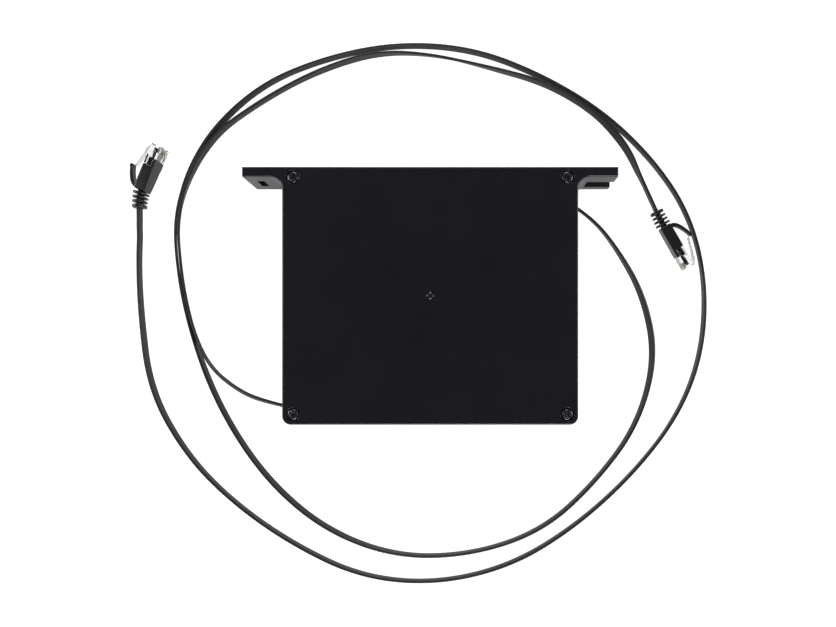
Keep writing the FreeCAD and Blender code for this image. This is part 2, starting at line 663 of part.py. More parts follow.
doc.recompute()
faults = [item.Name for item in doc.Objects if "Invalid" in item.State or "Error" in item.State]
faults += [item.Label for item in sub_parts if item.Shape.isNull() or not item.Shape.isValid()]
if faults:
    raise RuntimeError("not sound: " + ", ".join(faults))
for item in sub_parts:
    item.Shape.exportStep(f"parts/{item.Label}.step")
print(len(sub_parts), "sub-parts written")
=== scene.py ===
import math

import bmesh
import bpy
import numpy as np
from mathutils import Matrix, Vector


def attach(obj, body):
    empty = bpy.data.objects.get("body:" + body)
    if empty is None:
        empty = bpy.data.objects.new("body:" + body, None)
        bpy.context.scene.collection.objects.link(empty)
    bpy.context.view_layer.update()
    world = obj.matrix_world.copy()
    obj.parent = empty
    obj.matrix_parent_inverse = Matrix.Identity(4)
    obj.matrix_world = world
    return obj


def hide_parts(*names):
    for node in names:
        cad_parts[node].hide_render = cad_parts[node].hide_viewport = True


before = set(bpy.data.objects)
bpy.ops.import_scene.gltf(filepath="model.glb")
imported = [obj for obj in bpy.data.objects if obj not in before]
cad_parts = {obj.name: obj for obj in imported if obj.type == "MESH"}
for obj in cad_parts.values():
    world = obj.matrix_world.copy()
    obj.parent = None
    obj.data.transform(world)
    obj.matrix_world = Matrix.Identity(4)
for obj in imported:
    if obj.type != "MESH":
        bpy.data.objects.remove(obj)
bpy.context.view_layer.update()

# ---------------------------------------------------------------- studio
# The reel lies on its back on a white table, with four soft boxes round it and the camera straight
# above. The table and the room are bright to the camera, but give the object only a little light.
# None of this is part of the object.
MM = 0.001
scene = bpy.context.scene
scene.view_settings.view_transform = "Standard"


class Value:
    """A socket of a material; a sum or a product of it adds a Math node."""

    def __init__(self, paint, socket):
        self.paint = paint
        self.socket = socket

    def __add__(self, other):
        return self.paint.node("ShaderNodeMath", {"operation": "ADD"}, {0: self, 1: other})

    def __mul__(self, other):
        return self.paint.node("ShaderNodeMath", {"operation": "MULTIPLY"}, {0: self, 1: other})


class Paint:
    """One material with its Principled surface; node() adds any other node."""

    def __init__(self, name, **constants):
        self.material = bpy.data.materials.new(name)
        self.material.use_nodes = True
        self.tree = self.material.node_tree
        self.surface = self.tree.nodes["Principled BSDF"]
        for words, number in constants.items():
            self.surface.inputs[words.replace("_", " ")].default_value = number

    def node(self, kind, settings=None, sockets=None, out=0):
        made = self.tree.nodes.new(kind)
        for words, setting in (settings or {}).items():
            setattr(made, words, setting)
        for words, given in (sockets or {}).items():
            if isinstance(given, Value):
                self.tree.links.new(given.socket, made.inputs[words])
            else:
                made.inputs[words].default_value = given
        return Value(self, made.outputs[out])

    def noise(self, scale, detail):
        place = self.node("ShaderNodeTexCoord", out="Object")
        sockets = {"Vector": place, "Scale": scale, "Detail": detail}
        return self.node("ShaderNodeTexNoise", {}, sockets, "Fac")

    def blend(self, mask, first, second):
        sockets = {"Factor": mask, 6: (*first, 1.0), 7: (*second, 1.0)}
        return self.node("ShaderNodeMix", {"data_type": "RGBA"}, sockets, 2)

    def feed(self, words, value):
        self.tree.links.new(value.socket, self.surface.inputs[words])

    def colour(self, scale, first, second, detail=3.0):
        """A base colour that drifts between two tones."""
        self.feed("Base Color", self.blend(self.noise(scale, detail), first, second))

    def roughness(self, scale, spread, least, detail=3.0):
        """A roughness that drifts upwards from its least value by up to the spread."""
        self.feed("Roughness", self.noise(scale, detail) * spread + least)

    def grain(self, scale, depth, detail=2.0):
        """A fine bump, its depth in millimetres."""
        sockets = {"Height": self.noise(scale, detail), "Distance": depth * MM}
        self.feed("Normal", self.node("ShaderNodeBump", {}, sockets))


def add_mesh(name, points, faces, smooth=True):
    mesh = bpy.data.meshes.new(name)
    mesh.from_pydata(np.asarray(points).tolist(), [], faces)
    if smooth:
        mesh.polygons.foreach_set("use_smooth", [True] * len(mesh.polygons))
    mesh.update()
    piece = bpy.data.objects.new(name, mesh)
    scene.collection.objects.link(piece)
    return piece


TABLE_SIZE = 400.0
SEEN_THROUGH_SHARE = 0.95
half_table = TABLE_SIZE / 2
table_corners = [(-half_table, -half_table, 0), (half_table, -half_table, 0),
                 (half_table, half_table, 0), (-half_table, half_table, 0)]
table_top = add_mesh("table_top", table_corners, [(0, 1, 2, 3)], smooth=False)
table_paint = Paint("white_table", Roughness=0.6, Emission_Strength=1.0)
table_paint.colour(6.0, (0.18, 0.18, 0.18), (0.22, 0.22, 0.22))
# The glow is full to the camera, nearly full through clear plastic, and weaker to everything else.
seen_directly = table_paint.node("ShaderNodeLightPath", out="Is Camera Ray")
seen_through = table_paint.node("ShaderNodeLightPath", out="Is Transmission Ray")
seen = seen_directly + seen_through * SEEN_THROUGH_SHARE
table_paint.feed("Emission Color", table_paint.blend(seen, (0.56, 0.56, 0.56), (1.0, 1.0, 1.0)))
table_top.data.materials.append(table_paint.material)


def add_lamp(name, place, width, height, watts):
    light = bpy.data.lights.new(name, "AREA")
    light.shape = "RECTANGLE"
    light.size = width
    light.size_y = height
    light.energy = watts
    lamp = bpy.data.objects.new(name, light)
    lamp.location = place
    lamp.rotation_euler = Vector(place).to_track_quat("Z", "Y").to_euler()
    scene.collection.objects.link(lamp)


add_lamp("soft_box_left", (-1.25, 0.25, 0.75), 0.7, 0.5, 15.0)
add_lamp("soft_box_right", (1.25, 0.15, 0.75), 0.7, 0.5, 15.0)
add_lamp("soft_box_front", (0.1, -1.3, 0.75), 1.0, 0.5, 30.0)
add_lamp("soft_box_back", (0.0, 1.3, 0.7), 0.8, 0.4, 14.0)

world = bpy.data.worlds.new("dim_room")
world.use_nodes = True
room = world.node_tree
dim_walls = room.nodes["Background"]
pale_walls = room.nodes.new("ShaderNodeBackground")
for walls, strength in ((dim_walls, 0.06), (pale_walls, 1.0)):
    walls.inputs["Color"].default_value = (1.0, 1.0, 1.0, 1.0)
    walls.inputs["Strength"].default_value = strength
ray_kind = room.nodes.new("ShaderNodeLightPath")
chooser = room.nodes.new("ShaderNodeMixShader")
room.links.new(ray_kind.outputs["Is Camera Ray"], chooser.inputs[0])
room.links.new(dim_walls.outputs[0], chooser.inputs[1])
room.links.new(pale_walls.outputs[0], chooser.inputs[2])
room.links.new(chooser.outputs[0], room.nodes["World Output"].inputs["Surface"])
scene.world = world

camera_data = bpy.data.cameras.new("overhead_camera")
camera_data.lens = 28.42
camera_data.sensor_width = 36.0
camera_data.shift_x = -0.0538
camera_data.shift_y = 0.0592
camera = bpy.data.objects.new("overhead_camera", camera_data)
camera.location = (0.0204, -0.0418, 0.441)
scene.collection.objects.link(camera)
scene.camera = camera

# ---------------------------------------------------------------- leads
# One flat network lead, 6.0 by 1.8 mm, with a satin PVC jacket, runs through the reel. Its long end
# leaves by the right wall and its short end by the left wall. Both stand on edge on the table.
LEAD_WIDTH = 6.0
LEAD_THICK = 1.8
LEAD_CORNER = 0.6
TABLE_GAP = 0.1
# A lead is let down on the table from where its line runs lower than the start, and lies fully on it
# where its line is lower by the depth.
LET_DOWN_START = 4.5
LET_DOWN_DEPTH = 1.0
LONG_ROUTE = [
    (90, 61.6, 12), (104, 52.8, 12), (121, 33, 9.2), (139, 4, 5), (148.5, -36, 3.1),
    (136.5, -82.5, 3.1), (108, -121, 3.1), (73.5, -152.5, 3.1), (28, -168.5, 3.1), (-22, -170.5, 3.1),
    (-69, -153.5, 3.1), (-107.5, -121.5, 3.1), (-137, -79, 3.1), (-156.5, -33, 3.1), (-168.8, 14, 3.1),
    (-171.6, 62, 3.1), (-151, 107, 3.1), (-114.9, 142, 3.1), (-70.1, 160.6, 3.1), (-22, 169.8, 3.1),
    (27.2, 166.3, 3.1), (72, 149, 3.1), (113, 124.5, 3.1), (146.5, 92.5, 3.1), (170.2, 57, 3.1),
    (181.2, 14, 3.1), (179.2, -34, 3.1), (163.5, -76, 3.1), (133, -115.5, 3.1), (94, -150.8, 3.1),
    (51.3, -176.6, 3.1), (2, -188, 3.1), (-47, -183.5, 3.1), (-91.5, -162.4, 3.1),
    (-130.6, -135.3, 3.1), (-162.2, -103.7, 3.1), (-187.2, -59.6, 3.1), (-193.5, -6, 3.1),
    (-194.6, 29, 3.1), (-193.3, 47.5, 4.4), (-192.6, 62.6, 6.3),
]
SHORT_ROUTE = [
    (-90, -69.8, 20.5), (-103.7, -66.9, 20.5), (-122, -60.8, 17.4), (-144.6, -45.1, 10.2),
    (-158.2, -20.8, 4.4), (-166.2, 13, 3.1), (-169.8, 61.2, 3.1), (-149.3, 106.1, 3.1),
    (-113.2, 132.1, 3.1), (-76, 152, 3.1), (-37, 164.4, 3.1), (1.8, 162.8, 3.1), (39.8, 153.6, 3.1),
    (75, 144, 3.1), (107.4, 125.2, 3.1), (128.7, 102.2, 3.1), (139, 78.2, 4.4), (148.2, 56.3, 6.6),
]
# How far the top edge leans outwards, in degrees, at places along each lead, in millimetres.
LONG_LEAN = [
    (0, -13), (36, -2), (60, 8), (84, 16), (108, 18), (132, 12), (156, 7), (204, 3), (252, 4), (300, 1),
    (348, 2), (396, 8), (444, 11), (492, 8), (540, 7), (564, -4), (590, -15), (612, -21), (662, -23),
    (684, -5), (704, 5), (735, 0), (780, -4), (876, -1), (924, 1), (996, 2), (1044, 0), (1116, -4),
    (1152, 1), (1188, 0), (1236, -5), (1284, -3), (1356, 2), (1428, -2), (1500, 1), (1572, -1),
    (1644, 4), (1692, 4), (1740, -2), (1779, 1),
]
SHORT_LEAN = [
    (0, -12), (25, -22), (69, -27), (95, -24), (140, -23), (172, -21), (196, -3), (216, 6), (245, -3),
    (290, -4), (306, -1), (330, 2), (355, -6), (379, -17), (400, -23), (415, -14), (432, -4), (460, 4),
    (500, 8), (520, 24), (538, 16), (555, -4), (577, -5),
]


def smooth_line(name, route):
    """The points of a NURBS line of order three over the route, in metres."""
    curve = bpy.data.curves.new(name, "CURVE")
    curve.dimensions = "3D"
    curve.resolution_u = 12
    spline = curve.splines.new("NURBS")
    spline.points.add(len(route) - 1)
    control = np.ones((len(route), 4))
    control[:, :3] = np.array(route) * MM
    spline.points.foreach_set("co", control.ravel())
    spline.order_u = 3
    spline.use_endpoint_u = True
    holder = bpy.data.objects.new(name, curve)
    scene.collection.objects.link(holder)
    bpy.context.view_layer.update()
    drawn = bpy.data.meshes.new_from_object(holder)
    line = np.empty(len(drawn.vertices) * 3)
    drawn.vertices.foreach_get("co", line)
    bpy.data.objects.remove(holder)
    bpy.data.meshes.remove(drawn)
    return line.reshape(-1, 3)


def unit(rows):
    return rows / np.linalg.norm(rows, axis=-1, keepdims=True)


def along_line(line):
    """The distance of each point of a line from its start."""
    return np.concatenate([[0], np.cumsum(np.linalg.norm(np.diff(line, axis=0), axis=1))])


LARGEST_CORNER = 0.98


def box_ring(half_a, half_b, corner, per_corner=5):
    """Outlines of rounded rectangles, one a row: each corner is a quarter circle of the corner's
    radius, at most nearly the smaller half size, and its middle is the radius in from both sides."""
    half_a, half_b = np.broadcast_arrays(np.asarray(half_a, float), np.asarray(half_b, float))
    corner = np.minimum(corner, np.minimum(half_a, half_b) * LARGEST_CORNER)
    quarter = np.linspace(0, math.pi / 2, per_corner)
    turn = np.concatenate([quarter + number * math.pi / 2 for number in range(4)])
    side_a = np.repeat([1, -1, -1, 1], per_corner)
    side_b = np.repeat([1, 1, -1, -1], per_corner)
    across = side_a * (half_a - corner)[..., None] + np.cos(turn) * corner[..., None]
    along = side_b * (half_b - corner)[..., None] + np.sin(turn) * corner[..., None]
    return across, along


def set_flat_normals(mesh):
    """Each vertex takes the mean of its faces' normals, weighted by their areas, so that large flat
    faces stay flat and the narrow strips round their edges turn smoothly."""
    normals = np.empty(len(mesh.polygons) * 3)
    mesh.polygons.foreach_get("normal", normals)
    areas = np.empty(len(mesh.polygons))
    mesh.polygons.foreach_get("area", areas)
    totals = np.empty(len(mesh.polygons), np.int32)
    mesh.polygons.foreach_get("loop_total", totals)
    corners = np.empty(len(mesh.loops), np.int32)
    mesh.loops.foreach_get("vertex_index", corners)
    shares = np.repeat(normals.reshape(-1, 3) * areas[:, None], totals, axis=0)
    summed = np.zeros((len(mesh.vertices), 3))
    np.add.at(summed, corners, shares)
    never_zero = 1e-15
    mesh.normals_split_custom_set_from_vertices(unit(summed + never_zero).tolist())


def add_skin(name, *parts):
    """Closed skins in one mesh, each through rows of equal rings, with its own UV map: U is the way
    along the rows, in metres, and V the way round them."""
    points, faces, ways = [], [], []
    base = 0
    for rings in parts:
        rows, count = rings.shape[:2]
        row, column = np.meshgrid(np.arange(rows - 1), np.arange(count), indexing="ij")
        first = base + row * count + column
        second = base + row * count + (column + 1) % count
        faces += np.stack([first, second, second + count, first + count], -1).reshape(-1, 4).tolist()
        faces.append(list(range(base, base + count))[::-1])
        faces.append(list(range(base + (rows - 1) * count, base + rows * count)))
        reach = along_line(rings.mean(axis=1))
        round_way = np.abs(np.arange(count) / count * 2 - 1)
        ways.append(np.stack(np.broadcast_arrays(reach[:, None], round_way), -1).reshape(-1, 2))
        points.append(rings.reshape(-1, 3))
        base += rows * count
    piece = add_mesh(name, np.concatenate(points), faces)
    tidy = bmesh.new()
    tidy.from_mesh(piece.data)
    bmesh.ops.recalc_face_normals(tidy, faces=tidy.faces)
    tidy.to_mesh(piece.data)
    tidy.free()
    corners = np.empty(len(piece.data.loops), np.int32)
    piece.data.loops.foreach_get("vertex_index", corners)
    layer = piece.data.uv_layers.new(name="along_and_round")
    layer.data.foreach_set("uv", np.concatenate(ways)[corners].ravel())
    set_flat_normals(piece.data)
    return piece


def finish_piece(piece, paint, body, slot, *nodes):
    piece.data.materials.clear()
    piece.data.materials.append(paint.material)
    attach(piece, body)
    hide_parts(*nodes)


def flat_lead(name, route, lean_places):
    """A flat strip on the smooth line: its long side stands up from the table and leans outwards by
    the given angle; where the line is near the table, the strip is let down to touch it."""
    line = smooth_line(name + "_line", route)
    reach = along_line(line)
    places = np.array(lean_places, float)
    lean = np.radians(np.interp(reach, places[:, 0] * MM, places[:, 1]))
    ahead = unit(np.gradient(line, axis=0))
    up = unit(np.array([0.0, 0.0, 1.0]) - ahead * ahead[:, 2:3])
    outwards = np.cross(up, ahead)
    tall = up * np.cos(lean)[:, None] + outwards * np.sin(lean)[:, None]
    thick = np.cross(ahead, tall)
    half_height = (LEAD_WIDTH / 2 * np.cos(lean) + LEAD_THICK / 2 * np.abs(np.sin(lean))) * MM
    resting = np.clip((LET_DOWN_START * MM - line[:, 2]) / (LET_DOWN_DEPTH * MM), 0, 1)
    middle = line.copy()
    middle[:, 2] += resting * (half_height + TABLE_GAP * MM - line[:, 2])
    across, along = box_ring(LEAD_WIDTH / 2 * MM, LEAD_THICK / 2 * MM, LEAD_CORNER * MM)
    rings = middle[:, None] + tall[:, None] * across[..., None] + thick[:, None] * along[..., None]
    return add_skin(name, rings), line, float(reach[-1])


jacket_paint = Paint("satin_jacket", Specular_IOR_Level=0.35, IOR=1.45)
jacket_paint.colour(40.0, (0.0065, 0.0065, 0.0080), (0.0100, 0.0100, 0.0120))
jacket_paint.roughness(120.0, 0.12, 0.36)
jacket_paint.grain(900.0, 0.04)

long_lead, long_line, long_length = flat_lead("long_flat_lead", LONG_ROUTE, LONG_LEAN)
finish_piece(long_lead, jacket_paint, "root", "lead_jacket", "long_lead")
short_lead, short_line, short_length = flat_lead("short_flat_lead", SHORT_ROUTE, SHORT_LEAN)
finish_piece(short_lead, jacket_paint, "root", "lead_jacket", "short_lead")

# ---------------------------------------------------------------- housing
# Two mouldings of black ABS with a fine satin grain: a tray with its mounting flange, and a flat
# cover. Every edge is slightly rounded as it leaves the mould. A bush guides each lead out.
moulding_paint = Paint("satin_moulding", Specular_IOR_Level=0.42, IOR=1.46)
moulding_paint.colour(22.0, (0.0030, 0.0030, 0.0050), (0.0038, 0.0038, 0.0060), detail=4.0)
moulding_paint.roughness(35.0, 0.08, 0.27, detail=5.0)
moulding_paint.grain(2600.0, 0.02)
SAME_POINT = 0.002
FLAT_ANGLE = 1.0
SHARP_ANGLE = 32.0


def rounded_copy(node, name, radius):
    """A copy of a CAD node's mesh, its doubles merged and its flat faces joined, and its sharp edges
    rounded by the radius, in millimetres."""
    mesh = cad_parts[node].data.copy()
    tidy = bmesh.new()
    tidy.from_mesh(mesh)
    bmesh.ops.remove_doubles(tidy, verts=tidy.verts, dist=SAME_POINT * MM)
    flat = math.radians(FLAT_ANGLE)
    bmesh.ops.dissolve_limit(tidy, angle_limit=flat, verts=tidy.verts, edges=tidy.edges)
    tidy.to_mesh(mesh)
    tidy.free()
    rough = bpy.data.objects.new(name + "_rough", mesh)
    scene.collection.objects.link(rough)
    bevel = rough.modifiers.new("rounded_edges", "BEVEL")
    bevel.width = radius * MM
    bevel.segments = 3
    bevel.limit_method = "ANGLE"
    bevel.angle_limit = math.radians(SHARP_ANGLE)
    ready = rough.evaluated_get(bpy.context.evaluated_depsgraph_get())
    rounded = bpy.data.meshes.new_from_object(ready)
    rounded.name = name
    bpy.data.objects.remove(rough)
    rounded.polygons.foreach_set("use_smooth", [True] * len(rounded.polygons))
    set_flat_normals(rounded)
    piece = bpy.data.objects.new(name, rounded)
    scene.collection.objects.link(piece)
    return piece


for node, name, slot, radius in (
        ("rear_housing", "tray_moulding", "housing", 0.5),
        ("front_cover", "cover_moulding", "cover", 0.6),
        ("right_exit_bush", "right_bush_moulding", "housing", 0.3),
        ("left_exit_bush", "left_bush_moulding", "housing", 0.3)):
    finish_piece(rounded_copy(node, name, radius), moulding_paint, "root", slot, node)

# ---------------------------------------------------------------- screws
# Four black-zinc pan-head screws with cross recesses hold the cover, sunk in round pockets, and a
# small button head ties it to the axle post.
zinc_paint = Paint("black_zinc", Metallic=0.9)
zinc_paint.colour(300.0, (0.035, 0.035, 0.040), (0.10, 0.10, 0.105), detail=4.0)
zinc_paint.roughness(700.0, 0.18, 0.16)
zinc_paint.grain(1500.0, 0.02)
SCREW_SIDES = 96
SCREW_DOME = 0.45
SHANK_RADIUS = 1.5
# Parts of the head's radius: where its rings lie and how wide its rounded rim is.
RIM = 0.16
HEAD_RINGS = np.concatenate([np.linspace(0.03, 1 - RIM, 30), [0.89, 0.93, 0.965, 0.99, 1.0, 1.0, 0.99]])
# Parts of the cross's arm: half the slot's width, the slope of its sides and ends, and its depth.
SLOT_HALF = 0.22
SLOT_SLOPE = 0.1
SLOT_RUN_OUT = 0.25
SLOT_DEPTH = 0.55


def screw_rings(x, y, low, top, radius, arm, degrees, shank_low):
    """Rings of one screw, from the middle of its head outwards and down: the head falls by the dome
    with the square of the way out, its rim is a quarter circle, and the cross is sunk where one of
    the two turned coordinates is under the slot's half width and the other under the arm's length."""
    out = HEAD_RINGS[:, None] * radius
    turn = np.linspace(0, 2 * math.pi, SCREW_SIDES, endpoint=False)
    flat_x = out * np.cos(turn)
    flat_y = out * np.sin(turn)
    near = np.minimum(np.abs(flat_x), np.abs(flat_y))
    far = np.maximum(np.abs(flat_x), np.abs(flat_y))
    in_slot = np.clip((arm * SLOT_HALF - near) / (arm * SLOT_SLOPE) + 0.5, 0, 1)
    in_reach = np.clip((arm - far) / (arm * SLOT_RUN_OUT), 0, 1)
    height = top - SCREW_DOME * HEAD_RINGS[:, None] ** 2 - in_slot * in_reach * arm * SLOT_DEPTH
    rim = np.clip((HEAD_RINGS[:, None] - (1 - RIM)) / RIM, 0, 1)
    height -= RIM * radius * (1 - np.sqrt(1 - rim ** 2))
    height[-2] = (height[-3] + low) / 2
    height[-1] = low
    turned = math.radians(degrees)
    turned_x = math.cos(turned) * flat_x - math.sin(turned) * flat_y
    turned_y = math.sin(turned) * flat_x + math.cos(turned) * flat_y
    head = np.stack([x + turned_x, y + turned_y, height], -1)
    shank_turn = np.stack([x + SHANK_RADIUS * np.cos(turn), y + SHANK_RADIUS * np.sin(turn)], -1)
    shank = [np.concatenate([shank_turn, np.full((SCREW_SIDES, 1), z)], 1) for z in (low, shank_low)]
    return np.concatenate([head, shank]) * MM


CORNER_X = 85.4
CORNER_Y = 73.8
corner_screws = [
    screw_rings(x, y, low=29.5, top=30.95, radius=3.45, arm=2.1, degrees=degrees, shank_low=15.0)
    for x, y, degrees in ((-CORNER_X, -CORNER_Y, 22), (-CORNER_X, CORNER_Y, 58),
                          (CORNER_X, -CORNER_Y, 8), (CORNER_X, CORNER_Y, 37))]
finish_piece(add_skin("corner_screws", *corner_screws), zinc_paint, "root", "screw", "cover_screws")
middle_screw = screw_rings(0, 0, low=30.2, top=31.4, radius=2.15, arm=1.0, degrees=30, shank_low=20.0)
finish_piece(add_skin("middle_screw", middle_screw), zinc_paint, "root", "screw", "centre_screw")

# ---------------------------------------------------------------- plugs
# At each end of the lead is a clear eight-way plug on its side, with gold blades and a springy latch.
# A black boot grips its tail, with a guard arm over the latch and a soft ribbed neck on the lead.
boot_paint = Paint("moulded_boot", Specular_IOR_Level=0.42, IOR=1.48)
boot_paint.colour(150.0, (0.0036, 0.0036, 0.0050), (0.0056, 0.0056, 0.0072), detail=4.0)
boot_paint.roughness(260.0, 0.12, 0.27)
boot_paint.grain(2200.0, 0.03)

clear_paint = Paint("clear_plug", Transmission_Weight=1.0, IOR=1.56)
clear_paint.colour(200.0, (0.90, 0.90, 0.91), (0.95, 0.95, 0.96))
clear_paint.roughness(500.0, 0.06, 0.05)
clear_paint.grain(420.0, 0.03, detail=1.0)

gold_paint = Paint("gold_plate", Metallic=0.7)
gold_paint.colour(900.0, (0.88, 0.76, 0.54), (0.96, 0.86, 0.66))
gold_paint.roughness(1800.0, 0.2, 0.18)

# The latch is the same clear plastic as the plug's body. Its tint, much greyer than the body's, is painted
# shade, so that the latch shows grey against the white table.
latch_shade_paint = Paint("clear_latch_painted_shade", Transmission_Weight=1.0, IOR=1.56)
latch_shade_paint.colour(200.0, (0.60, 0.61, 0.63), (0.68, 0.69, 0.71))
latch_shade_paint.roughness(500.0, 0.08, 0.08)

core_paint = Paint("core_sleeve")
core_paint.colour(160.0, (0.008, 0.008, 0.010), (0.020, 0.020, 0.023))
core_paint.roughness(600.0, 0.1, 0.4)

# Middle of the boot's rear face, heading and roll in degrees, and the bend of the neck beyond it.
PLUGS = {
    "left": ((-191.0, 71.4, 6.4), 67.0, -2.0, [(-192.5, 67.4, 6.4), (-192.6, 60.2, 6.1)]),
    "right": ((152.7, 48.0, 6.65), -60.0, -9.0, [(150.3, 52.2, 6.65), (147.6, 58.0, 6.4)]),
}
# Each rib: its middle along the neck, its thickness, and its half sizes across and upwards.
NECK_RIBS = [(2.7, 1.4, 4.8, 5.1), (5.2, 1.4, 4.6, 4.9), (7.7, 1.4, 4.4, 4.7), (10.5, 2.0, 4.3, 4.6)]
RIB_RIM = 0.35
RIB_STEP = 0.02
NECK_START = 1.2
NECK_ROOT_THIN = 2.4
NECK_ROOT_WIDE = 3.8
NECK_THIN = 1.7
NECK_WIDE = 3.4
NECK_SQUARENESS = 2.6
BOOT_WIDE = 6.0
BOOT_TALL = 3.6
TONGUE_HALF = 0.97
TONGUE_MIDDLE = -2.63
CORE_COUNT = 8
CORE_RADIUS = 0.41
CORE_ROW = 0.7
CORE_SHIFT = -0.15


def plug_axes(side):
    """The plug's own axes: along to its tip, across to its latch, and the third nearly upwards."""
    origin, heading, roll, _ = PLUGS[side]
    heading, roll = math.radians(heading), math.radians(roll)
    tip = np.array([math.cos(heading), math.sin(heading), 0.0])
    level = np.array([-math.sin(heading), math.cos(heading), 0.0])
    up = np.array([0.0, 0.0, 1.0])
    latch = level * math.cos(roll) - up * math.sin(roll)
    return np.array(origin), tip, latch, np.cross(tip, latch)


def block_rings(side, stations, half_latch, half_upper, corner, centre_latch=0.0):
    """Rings of rounded rectangles across the plug's own length."""
    origin, tip, latch, upper = plug_axes(side)
    stations = np.array(stations, float)
    across, along = box_ring(half_latch, half_upper, corner)
    across = np.broadcast_to(across, (len(stations), across.shape[-1])) + centre_latch
    along = np.broadcast_to(along, (len(stations), along.shape[-1]))
    places = origin + tip * stations[:, None, None] + latch * across[..., None] + upper * along[..., None]
    return places * MM


def arm_rings(side, route, half_thick, half_wide, corner):
    """Rings of rounded rectangles on a smooth line in the plug's own plane; the two half sizes are
    functions of how far along the line a ring is, from 0 to 1."""
    origin, tip, latch, upper = plug_axes(side)
    places = [tuple(origin + tip * x + latch * y) for x, y in route]
    line = smooth_line(side + "_arm_line", places)
    reach = along_line(line)
    share = reach / reach[-1]
    ahead = unit(np.gradient(line, axis=0))
    level = np.cross(upper, ahead)
    across, along = box_ring(half_thick(share) * MM, half_wide(share) * MM, corner * MM)
    return line[:, None] + level[:, None] * across[..., None] + upper * along[..., None]


def neck_rings(side):
    """Rings of the bent neck: thin between the ribs, and out to each rib with a rounded rim."""
    origin, tip, _, upper = plug_axes(side)
    start = tuple(origin + tip * NECK_START)
    line = smooth_line(side + "_neck_line", [start] + PLUGS[side][3])
    reach = along_line(line) / MM
    stations, thin, wide = [0.0], [NECK_ROOT_THIN], [NECK_ROOT_WIDE]
    for place, thick, rib_thin, rib_wide in NECK_RIBS:
        half = thick / 2
        stations += [place - half, place - half + RIB_STEP, place - half * 0.6,
                     place + half * 0.6, place + half - RIB_STEP, place + half]
        thin += [NECK_THIN, rib_thin - RIB_RIM, rib_thin, rib_thin, rib_thin - RIB_RIM, NECK_THIN]
        wide += [NECK_WIDE, rib_wide - RIB_RIM, rib_wide, rib_wide, rib_wide - RIB_RIM, NECK_WIDE]
    stations = np.array(stations) * reach[-1] / stations[-1]
    middle = np.stack([np.interp(stations, reach, line[:, axis]) for axis in range(3)], 1)
    ahead = unit(np.stack([np.interp(stations, reach, way) for way in np.gradient(line, axis=0).T], 1))
    level = unit(np.cross(upper, ahead))
    turn = np.linspace(0, 2 * math.pi, 40, endpoint=False)
    squarish = 2 / NECK_SQUARENESS
    across = np.sign(np.cos(turn)) * np.abs(np.cos(turn)) ** squarish * np.array(thin)[:, None] * MM
    along = np.sign(np.sin(turn)) * np.abs(np.sin(turn)) ** squarish * np.array(wide)[:, None] * MM
    return middle[:, None] + level[:, None] * across[..., None] + upper * along[..., None]


# Middle lines of the guard arm and the latch, along the plug and across it, from root to free end.
GUARD_ROUTE = [(2.4, 1.5), (1.6, 4.0), (2.6, 6.2), (4.8, 8.1), (7.8, 9.7), (11.1, 11.0), (14.1, 12.0)]
LATCH_ROUTE = [(31.0, 2.9), (30.7, 4.3), (28.8, 5.5), (25.0, 6.8), (19.5, 8.3), (14.1, 9.65)]


def guard_thick(share):
    return np.interp(share, [0, 0.2, 0.5, 0.86, 0.92, 0.985, 1], [1.5, 1.3, 1.05, 0.9, 1.1, 1.0, 0.6])


def guard_wide(share):
    return np.interp(share, [0, 0.3, 0.97, 1], [3.1, 2.75, 2.75, 2.4])


def latch_thick(share):
    return np.interp(share, [0, 0.15, 0.3, 0.97, 1], [0.45, 0.5, 0.55, 0.45, 0.3])


def latch_wide(share):
    return np.interp(share, [0, 0.36, 0.42, 0.93, 0.94, 1], [3.2, 3.2, 1.7, 1.55, 1.9, 1.9])


